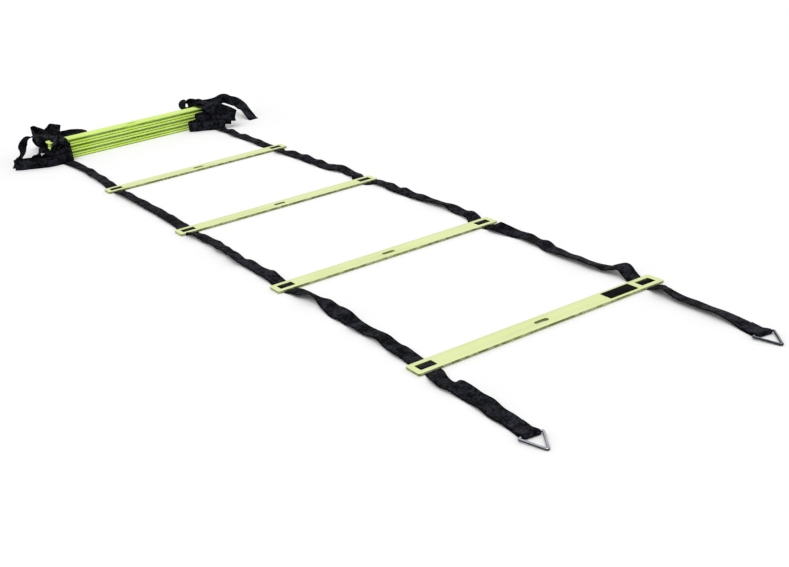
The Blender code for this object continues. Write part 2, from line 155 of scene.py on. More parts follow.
class Paint:
    # A material with one Principled shader, built node by node
    def __init__(self, name):
        self.material = bpy.data.materials.new(name)
        self.material.use_nodes = True
        self.tree = self.material.node_tree
        self.shader = self.tree.nodes["Principled BSDF"]

    def node(self, kind, settings, *values):
        made = self.tree.nodes.new("ShaderNode" + kind)
        for key, value in settings.items():
            setattr(made, key, value)
        for socket, value in zip(made.inputs, values):
            self.feed(socket, value)
        return made

    def feed(self, socket, value):
        if isinstance(value, Value):
            self.tree.links.new(value.socket, socket)
        elif value is not None:
            socket.default_value = value

    def set(self, **values):
        for name, value in values.items():
            self.feed(self.shader.inputs[name.replace("_", " ")], value)

    def place(self):
        # Object coordinates, as a vector
        return Value(self, self.node("TexCoord", {}).outputs["Object"])

    def pattern(self):
        # The piece's own map, in metres along and across
        flat = Value(self, self.node("UVMap", {"uv_map": "flat"}).outputs[0])
        parts = self.node("SeparateXYZ", {}, flat)
        return Value(self, parts.outputs[0]), Value(self, parts.outputs[1])

    def grain(self, where, scale, detail=2.0):
        made = self.node("TexNoise", {}, where, None, scale, detail)
        return Value(self, made.outputs[0])

    def join(self, x, y, z=0.0):
        return Value(self, self.node("CombineXYZ", {}, x, y, z).outputs[0])

    def mix(self, amount, a, b):
        made = self.node("Mix", {"data_type": "RGBA"})
        for socket, value in ((0, amount), (6, a), (7, b)):  # 6 and 7 are the node's colours
            self.feed(made.inputs[socket], value)
        return Value(self, made.outputs[2])

    def relief(self, height, distance, strength):
        made = self.node("Bump", {})
        made.inputs["Strength"].default_value = strength
        made.inputs["Distance"].default_value = distance
        self.feed(made.inputs["Height"], height)
        self.tree.links.new(made.outputs[0], self.shader.inputs["Normal"])


def rgb(red, green, blue):
    return (red, green, blue, 1.0)


# The tones are a face and its deeper patches, then an edge and its deeper patches. The laid slats'
# dark edge tones are painted shade and the stacked slats' bright edge tones are painted light, so
# the two sets are shaded and lit copies of one plastic; the stacked faces' deeper green is partly
# painted shade for the gaps between them
slatFinish = {
    # laid: the dark edge tones are painted shade
    "laid": (
        rgb(0.74, 0.81, 0.39), rgb(0.65, 0.74, 0.30),
        rgb(0.08, 0.11, 0.02), rgb(0.24, 0.30, 0.07),
    ),
    # stacked: the bright edge tones are painted light, and the deeper face tones are partly painted
    # shade
    "stacked": (
        rgb(0.68, 0.88, 0.20), rgb(0.56, 0.78, 0.12),
        rgb(0.60, 0.81, 0.10), rgb(0.46, 0.67, 0.05),
    ),
    "shine": {"laid": 0.45, "stacked": 0.12},
    "scuff": rgb(0.74, 0.80, 0.52),
    "roughness": 0.36,
    "length": 0.430,
    "width": 0.034,
    "cloudScale": 9.0,
    "grainScale": 900.0,
    "wearScale": 120.0,
    "wear": (0.42, 0.62),
    "wornRim": (0.2 * mm, 2.2 * mm),
    "streakScale": (14.0, 900.0),
    "streaks": (0.62, 0.74),
    "relief": 0.05 * mm,
}


def slatPaint(name, tones, edge):
    finish = slatFinish
    face, faceDeep, rim, rimDeep = finish[tones]
    alongScale, acrossScale = finish["streakScale"]
    paint = Paint(name)
    place = paint.place()
    along, across = paint.pattern()
    cloud = paint.grain(place, finish["cloudScale"], 3.0)
    fine = paint.grain(place, finish["grainScale"])
    inside = (finish["width"] / 2 - across.size()).least(finish["length"] / 2 - along.size())
    worn = paint.grain(place, finish["wearScale"], 3.0).step(*finish["wear"])
    worn = (1.0 - inside.step(*finish["wornRim"])) * worn
    streak = paint.grain(paint.join(along * alongScale, across * acrossScale), 1.0)
    streak = streak.step(*finish["streaks"])
    # The sides take the edge tones: painted shade on laid slats, painted light on stacked slats
    if edge:
        colour = paint.mix(cloud.step(0.4, 0.6) * 0.5, rim, rimDeep)
    else:
        colour = paint.mix(cloud.step(0.35, 0.65) * 0.45, face, faceDeep)
    colour = paint.mix(worn * 0.35 + streak * 0.10, colour, finish["scuff"])
    paint.set(
        Base_Color=colour,
        Roughness=finish["roughness"] + cloud * 0.10 + worn * 0.15 + streak * 0.08,
        Specular_IOR_Level=finish["shine"][tones],
    )
    paint.relief(fine * 0.6 + streak * 0.4, finish["relief"], 0.5)
    return paint.material


webFinish = {
    "face": rgb(0.0010, 0.0010, 0.0014),
    # the raised yarn tone is a painted highlight on the yarn tops
    "raised": rgb(0.0430, 0.0455, 0.0630),
    "fuzz": rgb(0.050, 0.051, 0.062),
    "selvedge": rgb(0.0015, 0.0015, 0.0020),
    "rib": 1.9 * mm,
    "yarn": 2.1 * mm,
    "width": 25 * mm,
    "rim": (0.8 * mm, 3.6 * mm),
    "wander": (0.25 * mm, 0.5 * mm),
    "wanderScale": 160.0,
    # the cloud patches are painted highlights
    "cloudScales": (55.0, 230.0),
    "cloud": (0.40, 0.62),
    "lintScale": 2600.0,
    "lint": (0.60, 0.80),
    "relief": 0.35 * mm,
}


def webPaint():
    # Rows of offset yarns along the band, with dull selvedges; the raised yarns' paler tone is a
    # painted highlight, lit in cloud patches of painted light, and the lint shows only inside those
    # patches
    finish = webFinish
    wanderAcross, wanderAlong = finish["wander"]
    broad, narrow = finish["cloudScales"]
    paint = Paint("webbingBlack")
    place = paint.place()
    along, across = paint.pattern()
    wander = paint.grain(place, finish["wanderScale"]) - 0.5
    column = (across + wander * wanderAcross) / finish["yarn"]
    brick = column.floor() % 2.0
    row = (along + wander * wanderAlong) / finish["rib"] + brick * 0.5
    hill = (row * (2 * math.pi)).sin() * 0.5 + 0.5
    ridge = (column * math.pi).sin().size()
    yarn = hill ** 0.7 * (0.35 + ridge * 0.65)
    rim = (finish["width"] / 2 - across.size()).step(*finish["rim"])
    cloud = paint.grain(place, broad, 3.0) * 0.5 + paint.grain(place, narrow) * 0.5
    cloud = cloud.step(*finish["cloud"])
    lint = paint.grain(place, finish["lintScale"], 3.0).step(*finish["lint"])
    # Painted highlight: the raised yarns take their pale tone only inside the cloud's painted
    # highlight patches
    colour = paint.mix(yarn * (0.03 + cloud * 0.97), finish["face"], finish["raised"])
    # The lint tone is real fuzz, but it shows only within the same painted highlights
    colour = paint.mix(lint * 0.45 * cloud, colour, finish["fuzz"])
    colour = paint.mix(1.0 - rim, colour, finish["selvedge"])
    paint.set(Base_Color=colour, Roughness=0.88 - cloud * 0.25, Specular_IOR_Level=0.05)
    paint.relief(yarn + lint * 0.15, finish["relief"], 0.7)
    return paint.material


labelFinish = {
    "deep": rgb(0.002, 0.002, 0.002),
    "pale": rgb(0.005, 0.005, 0.006),
    "cloudScale": 60.0,
    "cloud": (0.35, 0.7),
    "grainScale": 2200.0,
    "relief": 0.06 * mm,
}


def labelPaint():
    finish = labelFinish
    paint = Paint("bareLabel")
    place = paint.place()
    cloud = paint.grain(place, finish["cloudScale"], 3.0).step(*finish["cloud"])
    fine = paint.grain(place, finish["grainScale"])
    colour = paint.mix(cloud, finish["deep"], finish["pale"])
    paint.set(Base_Color=colour, Roughness=0.70 + fine * 0.15, Specular_IOR_Level=0.06)
    paint.relief(fine, finish["relief"], 0.6)
    return paint.material


steelFinish = {
    "bright": rgb(0.62, 0.65, 0.68),
    "dull": rgb(0.40, 0.43, 0.47),
    "pit": rgb(0.20, 0.20, 0.21),
    "shade": rgb(0.035, 0.040, 0.052),
    "dark": {"left": 0.35, "right": 0.72},  # where the shaded side of the wire ends
    "turn": 1 * mm,  # the map's length once round the wire
    "cloudScale": 90.0,
    "cloud": (0.3, 0.75),
    "pitScale": 1500.0,
    "pits": (0.66, 0.78),
    "relief": 0.05 * mm,
}


def steelPaint(side):
    finish = steelFinish
    dark = finish["dark"][side]
    paint = Paint(side + "Wire")
    place = paint.place()
    cloud = paint.grain(place, finish["cloudScale"], 3.0)
    pits = paint.grain(place, finish["pitScale"]).step(*finish["pits"])
    colour = paint.mix(cloud.step(*finish["cloud"]), finish["bright"], finish["dull"])
    colour = paint.mix(pits * 0.5, colour, finish["pit"])
    around = (paint.pattern()[1] * (2 * math.pi / finish["turn"])).sin() + (cloud - 0.5) * 0.5
    colour = paint.mix(1.0 - around.step(dark, dark + 0.4), colour, finish["shade"])
    paint.set(Base_Color=colour, Metallic=1.0, Roughness=0.20 + cloud * 0.16 + pits * 0.2)
    paint.relief(cloud * 0.5 - pits, finish["relief"], 0.5)
    return paint.material


threadFinish = {
    "deep": rgb(0.030, 0.030, 0.038),
    "pale": rgb(0.110, 0.110, 0.130),
    "twistScale": 1800.0,
    "relief": 0.08 * mm,
}


def threadPaint():
    finish = threadFinish
    paint = Paint("threadBlack")
    twist = paint.grain(paint.place(), finish["twistScale"])
    colour = paint.mix(twist, finish["deep"], finish["pale"])
    paint.set(Base_Color=colour, Roughness=0.6 + twist * 0.2, Specular_IOR_Level=0.2)
    paint.relief(twist, finish["relief"], 0.6)
    return paint.material


slatLitAndShadedLooks = {
    tones: [slatPaint(tones + "Face", tones, False), slatPaint(tones + "Edge", tones, True)]
    for tones in ("laid", "stacked")
}
webbing = webPaint()
labelBlack = labelPaint()
steel = {side: steelPaint(side) for side in sides}
thread = threadPaint()
print("materials made")

# Angles in degrees: where shading breaks, and where two faces count as one flat side
limits = {"sharp": 50, "flat": 1.0, "merge": 0.02 * mm, "solidMerge": 0.01 * mm, "climb": 0.1 * mm}


def keep(shape, name, materials, body, nodes, blend=None):
    # Turns a finished bmesh into a piece that rides on a body or, when a blend is given, stays
    # unattached where it is with its placement baked in
    mesh = bpy.data.meshes.new(name)
    shape.to_mesh(mesh)
    shape.free()
    piece = bpy.data.objects.new(name, mesh)
    scene.collection.objects.link(piece)
    for material in materials:
        mesh.materials.append(material)
    mesh.shade_smooth()
    mesh.set_sharp_from_angle(angle=math.radians(limits["sharp"]))
    if blend:
        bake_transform(piece)
    else:
        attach(piece, body)
    if nodes:
        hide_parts(*nodes)


def sweep(stations, section, closed=False, lift=None, turn=0.0):
    # A section carried along stations of (place, sideways, up, length so far). The map runs
    # along and across the band, or once round the section in steps of one turn
    shape = bmesh.new()
    count, around = len(stations), len(section)
    steps = count if closed else count - 1
    bmesh.ops.create_grid(shape, x_segments=steps, y_segments=around, size=0.5)
    flat = shape.loops.layers.uv.new("flat")
    spot = {}
    for vert in shape.verts:
        i = round((vert.co.x + 0.5) * steps)
        k = round((vert.co.y + 0.5) * around)
        spot[vert] = (i, k)
    run = stations[-1][3] * count / max(count - 1, 1)
    for face in shape.faces:
        for loop in face.loops:
            i, k = spot[loop.vert]
            length = run if i == count else stations[i][3]
            loop[flat].uv = (length, turn * k / around if turn else section[k % around][0])
    for vert, (i, k) in spot.items():
        place, sideways, up, _ = stations[i % count]
        a, b = section[k % around]
        if lift:
            b += lift(i % count, a)
        vert.co = place + sideways * a + up * b
    bmesh.ops.remove_doubles(shape, verts=shape.verts, dist=limits["merge"])
    if not closed:
        edges = [edge for edge in shape.edges if edge.is_boundary]
        bmesh.ops.holes_fill(shape, edges=edges, sides=0)
    bmesh.ops.recalc_face_normals(shape, faces=shape.faces)
    return shape


def bandSection(width, thickness, columns):
    # A flat band with rounded selvedges, from its left edge over the top and back underneath
    half, reach = width / 2, width / 2 - thickness * 0.45
    across = [-reach + 2 * reach * k / columns for k in range(columns + 1)]
    top = [(a, thickness / 2) for a in across]
    under = [(a, -thickness / 2) for a in reversed(across)]
    return [(-half, 0.0)] + top + [(half, 0.0)] + under


def flow(keys, step):
    # A smooth line through rows of numbers, the first three of which are a place
    rows = np.array(keys, dtype=float)
    gaps = np.linalg.norm(np.diff(rows[:, :3], axis=0), axis=1)
    at = np.concatenate([[0.0], np.cumsum(gaps)])
    slopes = np.diff(rows, axis=0) / gaps[:, None]
    tilt = np.empty_like(rows)
    tilt[0], tilt[-1] = slopes[0], slopes[-1]
    near, far = gaps[:-1, None], gaps[1:, None]
    tilt[1:-1] = (slopes[:-1] * far + slopes[1:] * near) / (near + far)
    fine = np.linspace(0.0, at[-1], max(int(at[-1] / step), 2) + 1)
    cell = np.clip(np.searchsorted(at, fine, side="right") - 1, 0, len(gaps) - 1)
    t = ((fine - at[cell]) / gaps[cell])[:, None]
    h = gaps[cell][:, None]
    a, b, m, n = rows[cell], rows[cell + 1], tilt[cell], tilt[cell + 1]
    return (
        a * (1 + 2 * t) * (1 - t) ** 2
        + m * h * t * (1 - t) ** 2
        + b * t * t * (3 - 2 * t)
        + n * h * t * t * (t - 1)
    )


def walk(line):
    # Each row of a line, with its place and the way that the line runs there
    last = len(line) - 1
    for i, row in enumerate(line):
        ahead, behind = line[min(i + 1, last)], line[max(i - 1, 0)]
        yield row, Vector(row[:3]), (Vector(ahead[:3]) - Vector(behind[:3])).normalized()


def addStation(stations, place, sideways, up):
    length = 0.0
    if stations:
        length = stations[-1][3] + (place - stations[-1][0]).length
    stations.append((place, sideways, up, length))


def solidOf(name):
    # A merged copy of a solid of the frame, its flat sides in one piece each
    node = frame["nodes"][name]
    shape = bmesh.new()
    shape.from_mesh(node.data)
    bmesh.ops.transform(shape, matrix=node.matrix_world, verts=shape.verts)
    bmesh.ops.remove_doubles(shape, verts=shape.verts, dist=limits["solidMerge"])
    bmesh.ops.dissolve_limit(
        shape, angle_limit=math.radians(limits["flat"]), verts=shape.verts, edges=shape.edges
    )
    return shape


def turns(edge, degrees):
    return len(edge.link_faces) == 2 and edge.calc_face_angle() > math.radians(degrees)


def climbs(edge):
    return abs(edge.verts[0].co.z - edge.verts[1].co.z) > limits["climb"]


slatDetail = {"bevel": 0.45 * mm, "segments": 2, "sharp": 30, "side": 0.35}


def buildSlat(number):
    # The slat as it is in the frame, with its edges softened and its sides in the edge's tones,
    # which are painted shade on the laid slats and painted light on the stacked ones
    detail = slatDetail
    name = slatNode(number)
    centre = slatCentre(number)
    shape = solidOf(name)
    hard = [edge for edge in shape.edges if turns(edge, detail["sharp"]) and not climbs(edge)]
    bmesh.ops.bevel(
        shape, geom=hard, offset=detail["bevel"], affect="EDGES",
        segments=detail["segments"], profile=0.5, material=-1, clamp_overlap=True,
    )
    bmesh.ops.triangulate(shape, faces=[face for face in shape.faces if len(face.verts) > 4])
    flat = shape.loops.layers.uv.new("flat")
    for face in shape.faces:
        face.material_index = 1 if abs(face.normal.z) < detail["side"] else 0
        for loop in face.loops:
            loop[flat].uv = (loop.vert.co.x - centre.x, loop.vert.co.y - centre.y)
    body = "stack_base" if number == ladder["base"] else name
    # Laid slats get the copy with painted shade on their sides, stacked slats the copy with painted
    # light
    looks = slatLitAndShadedLooks["laid" if number < ladder["base"] else "stacked"]
    keep(shape, "slat%02d" % number, looks, body, [name])


for number in range(1, ladder["slats"] + 1):
    buildSlat(number)
print("slats made")

labelDetail = {"corner": (1.5 * mm, 5), "rim": (0.12 * mm, 2), "sharp": 60}


def roundEdges(shape, edges, offset, segments):
    bmesh.ops.bevel(
        shape, geom=edges, offset=offset, affect="EDGES", segments=segments, profile=0.5,
        material=-1,
    )


def buildLabel():
    detail = labelDetail
    shape = solidOf("label")
    posts = [edge for edge in shape.edges if climbs(edge)]
    roundEdges(shape, posts, *detail["corner"])
    rims = [edge for edge in shape.edges if turns(edge, detail["sharp"])]
    roundEdges(shape, rims, *detail["rim"])
    keep(shape, "bareLabel", [labelBlack], "rung_01", ["label"])


buildLabel()
print("label made")

strap = {
    "width": 25 * mm,
    "thickness": 1.5 * mm,
    "columns": 8,
    "x": 0.193,
    "step": 2.5 * mm / 2,
    "pitch": 0.406,
    "low": 0.75 * mm,
    "over": 4.05 * mm,
    "crown": 0.05 * mm,
    "crest": 4.6 * mm,
    "foot": 7.9 * mm,
    "under": 12 * mm,
    "edge": 18.5 * mm,
    "creaseReach": 18 * mm,
    "hingeReach": 30 * mm,
}
section = bandSection(strap["width"], strap["thickness"], strap["columns"])

# A laid strap's rows, far end first: y from the first slat and x outwards in metres, lift in mm,
# roll in degrees, cupping in mm
laidRows = {
    "left": [
        (1.583, 0.196, 0, 0, 0), (1.545, 0.193, 1, 6, 0), (1.500, 0.190, 3, -1, 0.5),
        (1.462, 0.188, 1, -7, 0), (1.424, 0.187, 3, -4, 0.8), (1.380, 0.189, 1, -8, 0),
        (1.342, 0.189, 3, -5, 0.6), (1.300, 0.190, 1, -6, 0), (1.275, 0.191, 2, -2, 0),
        (1.185, 0.195, 1, -10, 0), (1.150, 0.194, 3, -8, 0.6), (1.112, 0.193, 1, -10, 0),
        (1.070, 0.192, 3, -6, 0.8), (1.030, 0.191, 1, -7, 0), (0.992, 0.190, 2, -3, 0.5),
        (0.950, 0.190, 1, -6, 0), (0.912, 0.191, 3, -3, 0.6), (0.875, 0.191, 1, -4, 0),
        (0.845, 0.192, 2, 0, 0), (0.785, 0.195, 1, -14, 0), (0.757, 0.192, 2, -12, 0.5),
        (0.726, 0.190, 1, -6, 0), (0.698, 0.189, 3, -8, 0.8), (0.676, 0.190, 1, -15, 0.6),
        (0.655, 0.192, 3, -10, 1.2), (0.640, 0.192, 2, -19, 0), (0.618, 0.191, 1, -11, 0.8),
        (0.597, 0.194, 2, -20, 0), (0.576, 0.195, 1, -15, 0.5), (0.556, 0.192, 3, -3, 1.2),
        (0.522, 0.191, 1, -4, 0.4), (0.492, 0.191, 2, 3, 0.8), (0.472, 0.192, 4, 8, 0.6),
        (0.450, 0.192, 3, 0, 0), (0.376, 0.191, 1, -3, 0), (0.356, 0.190, 2, -6, 0.6),
        (0.337, 0.187, 1, -22, 0.8), (0.319, 0.185, 1, -31, 0.6), (0.301, 0.182, 2, -12, 0.8),
        (0.283, 0.185, 4, 0, 1.2), (0.263, 0.188, 2, 9, 0.4), (0.240, 0.191, 1, 24, 0),
        (0.221, 0.190, 3, 15, 1.2), (0.200, 0.189, 1, 5, 0.5), (0.178, 0.191, 3, -5, 0.8),
        (0.150, 0.189, 1, -3, 0.3), (0.120, 0.188, 3, -8, 0.8), (0.090, 0.190, 1, -2, 0),
        (0.066, 0.193, 3, 4, 0.5), (0.042, 0.193, 3, 0, 0),
    ],
    "right": [
        (1.560, 0.190, 0, 0, 0), (1.530, 0.190, 2, -4, 0), (1.500, 0.189, 1, -10, 0.4),
        (1.475, 0.192, 3, 1, 0.8), (1.450, 0.191, 1, -7, 0), (1.422, 0.188, 1, -9, 0.4),
        (1.400, 0.190, 3, 3, 0.8), (1.360, 0.192, 1, 0, 0), (1.320, 0.191, 3, -3, 0.6),
        (1.280, 0.190, 1, 0, 0), (1.190, 0.189, 1, -7, 0), (1.174, 0.187, 1, -13, 0.5),
        (1.158, 0.190, 3, -2, 0.8), (1.138, 0.192, 2, 8, 0), (1.110, 0.194, 1, 1, 0.4),
        (1.080, 0.194, 3, 9, 1.0), (1.040, 0.194, 1, 4, 0), (1.015, 0.194, 3, 7, 0.8),
        (0.985, 0.194, 1, 4, 0), (0.952, 0.195, 2, 10, 0.6), (0.926, 0.200, 4, 9, 1.0),
        (0.905, 0.204, 2, 1, 0), (0.880, 0.202, 1, -1, 0), (0.858, 0.201, 2, -3, 0),
        (0.786, 0.202, 2, -2, 0), (0.765, 0.205, 1, -7, 0.4), (0.738, 0.206, 3, -1, 0.8),
        (0.712, 0.203, 1, -2, 0), (0.685, 0.202, 3, 6, 1.0), (0.652, 0.204, 1, 0, 0),
        (0.622, 0.203, 3, 2, 0.8), (0.600, 0.205, 1, -4, 0.4), (0.576, 0.205, 2, -11, 0.6),
        (0.552, 0.207, 1, -12, 0.8), (0.535, 0.208, 2, -15, 0.4), (0.514, 0.207, 3, -4, 1.0),
        (0.490, 0.206, 1, -1, 0), (0.462, 0.204, 4, 3, 0.8), (0.440, 0.200, 2, 0, 0),
        (0.378, 0.194, 1, 2, 0), (0.361, 0.190, 4, 19, 1.0), (0.340, 0.193, 3, 15, 0.6),
        (0.318, 0.198, 1, 7, 0.4), (0.290, 0.200, 3, 2, 1.0), (0.262, 0.198, 1, -8, 0.4),
        (0.240, 0.197, 3, 3, 0.8), (0.220, 0.193, 1, 0, 0), (0.200, 0.190, 2, -5, 0.6),
        (0.180, 0.189, 1, -11, 0.4), (0.150, 0.189, 2, -13, 0), (0.120, 0.189, 1, -16, 0),
        (0.100, 0.189, 2, -14, 0.4), (0.082, 0.192, 3, -5, 1.0), (0.064, 0.194, 9, 3, 1.5),
        (0.048, 0.196, 11, 7, 1.5), (0.036, 0.195, 6, 2, 0.5),
    ],
}


def windowRows(number):
    # The strap's way under the slat's edge, up over the bridge and down again
    y = (number - 1) * strap["pitch"]
    rise = [(strap[key], strap["low"]) for key in ("edge", "under", "foot")]
    rise.append((strap["crest"], strap["over"]))
    fall = [(-off, z) for off, z in reversed(rise)]
    crown = [(0.0, strap["over"] + strap["crown"])]
    return [(y + off, z) for off, z in rise + crown + fall]


def windowKeys(side, number):
    # The same in the frame: x, y, z, roll, cupping
    x = sides[side] * strap["x"]
    return [(x, y + firstY, z, 0.0, 0.0) for y, z in windowRows(number)]


def bandKey(side, row):
    # A row in the frame, raised until its lower edge clears the floor
    y, x, lift, roll, cup = row
    roll = math.radians(roll)
    half = strap["width"] / 2 * abs(math.sin(roll)) + strap["low"] * math.cos(roll)
    return sides[side] * x, y + firstY, half + lift * mm, roll, cup * mm


def strapKeys(side):
    keys = [bandKey(side, row) for row in laidRows[side]]
    for number in range(1, ladder["base"] + 1):
        keys += [key for key in windowKeys(side, number) if key[1] > firstY - mm]
    return sorted(keys, key=lambda key: -key[1])


def stationsOf(keys, step):
    # Stations of a band that lies on its flat, and its cupping at each
    stations, cups = [], []
    for key, place, heading in walk(flow(keys, step)):
        sideways = Vector((0.0, 0.0, 1.0)).cross(heading).normalized()
        if sideways.x < 0:
            sideways = -sideways
        up = heading.cross(sideways)
        if up.z < 0:
            up = -up
        roll, cup = key[3:]
        turned = sideways * math.cos(roll) + up * math.sin(roll)
        raised = up * math.cos(roll) - sideways * math.sin(roll)
        addStation(stations, place, turned, raised)
        cups.append(cup)
    return stations, cups


creases = {
    "across": 45,
    "along": 38,
    "height": 0.9 * mm,
    "clear": 40 * mm,
    "seed": {"left": 3.1, "right": 8.4},
}


def cupped(cups, i, a):
    return cups[i] * (1 - (2 * a / strap["width"]) ** 2)


def wrinkle(stations, cups, seed):
    # Cupping across the band, and soft creases, both faded out near the slats
    pitch = strap["pitch"]

    def lift(i, a):
        place, _, _, length = stations[i]
        spot = Vector((a * creases["across"] + seed, length * creases["along"], seed))
        crease = noise.noise(spot) * creases["height"]
        away = abs((place.y - firstY + pitch / 2) % pitch - pitch / 2)
        free = max(min(away / creases["clear"], 1.0) - 0.5, 0.0) * 2
        return (cupped(cups, i, a) + crease) * free

    return lift


def cutAt(stations, marks):
    # Cuts a run of stations at the given y values, far end first, sharing the end stations
    ys = [station[0].y for station in stations]
    cuts = [0] + [min(range(len(ys)), key=lambda i: abs(ys[i] - mark)) for mark in marks]
    return list(zip(cuts, cuts[1:]))


axes = {joint["name"]: joint["pos_m"] for joint in frame["joints"] if "pos_m" in joint}


def buildLaidStrap(side):
    # One piece from each slat to the middle of the bay's near half, and one from there to the
    # next slat
    stations, cups = stationsOf(strapKeys(side), strap["step"])
    lift = wrinkle(stations, cups, creases["seed"][side])
    soft, reach = strap["creaseReach"], strap["hingeReach"]
    marks, jobs = [], []
    far = "stack_base"
    nodes = ["strap_%s_rung_%02d" % (side, ladder["base"])]
    for bay in range(ladder["base"] - 1, 0, -1):
        crease, edge = axes["bay_%02d_crease" % bay][1], axes["bay_%02d_rung" % bay][1]
        near, rung = "bay_%02d_near" % bay, slatNode(bay)
        name = "strap_%s_bay_%02d_" % (side, bay)
        marks += [(crease + edge) / 2, firstY + (bay - 1) * strap["pitch"]]
        bends = (far, near, (0, crease + soft, 0), (0, crease - soft, 0))
        jobs.append(("Far", bay, nodes + [name + "far"], bends))
        bends = (near, rung, (0, edge + reach, 0), (0, edge, 0))
        jobs.append(("Near", bay, [name + "near", "strap_%s_rung_%02d" % (side, bay)], bends))
        far, nodes = rung, []
    for (a, b), (part, bay, nodes, bends) in zip(cutAt(stations, marks), jobs):
        shape = sweep(stations[a:b + 1], section, lift=lambda i, u, a=a: lift(a + i, u))
        keep(shape, "%sBay%d%s" % (side, bay, part), [webbing], None, nodes, bends)


for side in sides:
    buildLaidStrap(side)
print("laid straps made")

# A near tail: along the floor, round the ring's bar and back over itself to the seam
tail = {
    "drift": {"left": -13 * mm, "right": -19 * mm},
    "length": 220 * mm,
    "hinge": 17.3 * mm,
    "hingeReach": 30 * mm,
    "square": 190 * mm,  # from here on the band lies square to the bar
    "bar": 3.6 * mm,
    "wire": 3.6 * mm,
    "gap": 1.05 * mm,
    "low": 0.95 * mm,
    "step": 1.3 * mm,
    "under": (25 * mm, 17 * mm, 9 * mm),
    "round": (-90, -55, -20, 15, 50, 85, 118),
    "over": ((9 * mm, 4.4 * mm), (14 * mm, 2.9 * mm), (24 * mm, 2.6 * mm), (37 * mm, 2.5 * mm)),
}
tailRows = {
    "left": [
        (-0.024, 0.195, 1, 0, 0), (-0.045, 0.202, 2, -6, 0.4), (-0.064, 0.203, 1, -4, 0),
        (-0.079, 0.202, 4, 12, 1.2), (-0.096, 0.201, 2, 18, 0.4), (-0.120, 0.200, 1, 12, 0),
        (-0.145, 0.201, 3, 10, 0.8), (-0.168, 0.203, 1, 8, 0), (-0.190, 0.203, 2, 4, 0),
    ],
    "right": [
        (-0.023, 0.193, 1, -2, 0), (-0.038, 0.188, 3, -12, 0.6), (-0.050, 0.186, 4, -22, 1.0),
        (-0.063, 0.186, 2, -19, 0.6), (-0.080, 0.185, 1, -13, 0), (-0.102, 0.184, 2, -12, 0.6),
        (-0.128, 0.184, 1, -13, 0), (-0.158, 0.183, 2, -15, 0.6), (-0.184, 0.182, 1, -8, 0),
    ],
}


def tailEnd(side):
    # Where the middle of the ring's bar is, and the tail's slope there
    drift = tail["drift"][side]
    x, y = sides[side] * strap["x"] + drift, firstY - tail["hinge"] - tail["length"]
    return x, y, 2 * drift / tail["length"]


def tailWays(slope):
    # The ways along the tail's end and across it
    return Vector((slope, -1.0, 0.0)).normalized(), Vector((1.0, slope, 0.0)).normalized()


def tailKeys(side):
    x, y, slope = tailEnd(side)
    heading, _ = tailWays(slope)
    bar = Vector((x, y, tail["bar"]))
    wrap = tail["wire"] / 2 + tail["gap"]
    spots = [(bar - heading * back, tail["low"]) for back in tail["under"]]
    for angle in tail["round"]:
        a = math.radians(angle)
        spot = bar + heading * (wrap * math.cos(a)) + Vector((0, 0, wrap * math.sin(a)))
        spots.append((spot, max(spot.z, strap["low"])))
    spots += [(bar - heading * back, z) for back, z in tail["over"]]
    keys = [key for key in windowKeys(side, 1) if key[1] < firstY + mm]
    keys += [bandKey(side, row) for row in tailRows[side]]
    return keys + [(spot.x, spot.y, z, 0.0, 0.0) for spot, z in spots]


def buildTail(side):
    _, square = tailWays(tailEnd(side)[2])
    stations, cups = [], []
    for key, place, heading in walk(flow(tailKeys(side), tail["step"])):
        level = square if place.y < firstY - tail["square"] else Vector((1.0, 0.0, 0.0))
        sideways = (level - heading * level.dot(heading)).normalized()
        up = sideways.cross(heading)
        roll, cup = key[3:]
        turned = sideways * math.cos(roll) - up * math.sin(roll)
        raised = up * math.cos(roll) + sideways * math.sin(roll)
        addStation(stations, place, turned, raised)
        cups.append(cup)
    shape = sweep(stations, section, lift=lambda i, a: cupped(cups, i, a))
    hinge = firstY - tail["hinge"]
    node = "near_tail_" + side
    bends = ("rung_01", node, (0.0, hinge, 0.0), (0.0, hinge - tail["hingeReach"], 0.0))
    keep(shape, side + "Tail", [webbing], None, [node], bends)


ringSize = {
    "base": 34 * mm,
    "height": 39 * mm,
    "corner": 3.4 * mm,
    "tip": 1.6,  # how much rounder the tip is than the other corners
    "arcSteps": 8,
    "sideSteps": 12,
    "sides": 16,
}


def triangleLine():
    # The wire's line in its own plane, round all three corners
    half, height = ringSize["base"] / 2, ringSize["height"]
    arc, side = ringSize["arcSteps"], ringSize["sideSteps"]
    corners = [Vector((-half, 0, 0)), Vector((0, -height, 0)), Vector((half, 0, 0))]
    line = []
    for i, corner in enumerate(corners):
        following = corners[(i + 1) % 3]
        before, after = corners[i - 1] - corner, following - corner
        reach = ringSize["corner"] * (ringSize["tip"] if i == 1 else 1.0)
        a = corner + before.normalized() * reach
        b = corner + after.normalized() * reach
        for k in range(arc + 1):
            t = k / arc
            line.append(a * (1 - t) ** 2 + corner * 2 * t * (1 - t) + b * t * t)
        goal = following + (corner - following).normalized() * reach
        line += [b.lerp(goal, k / side) for k in range(1, side)]
    return line


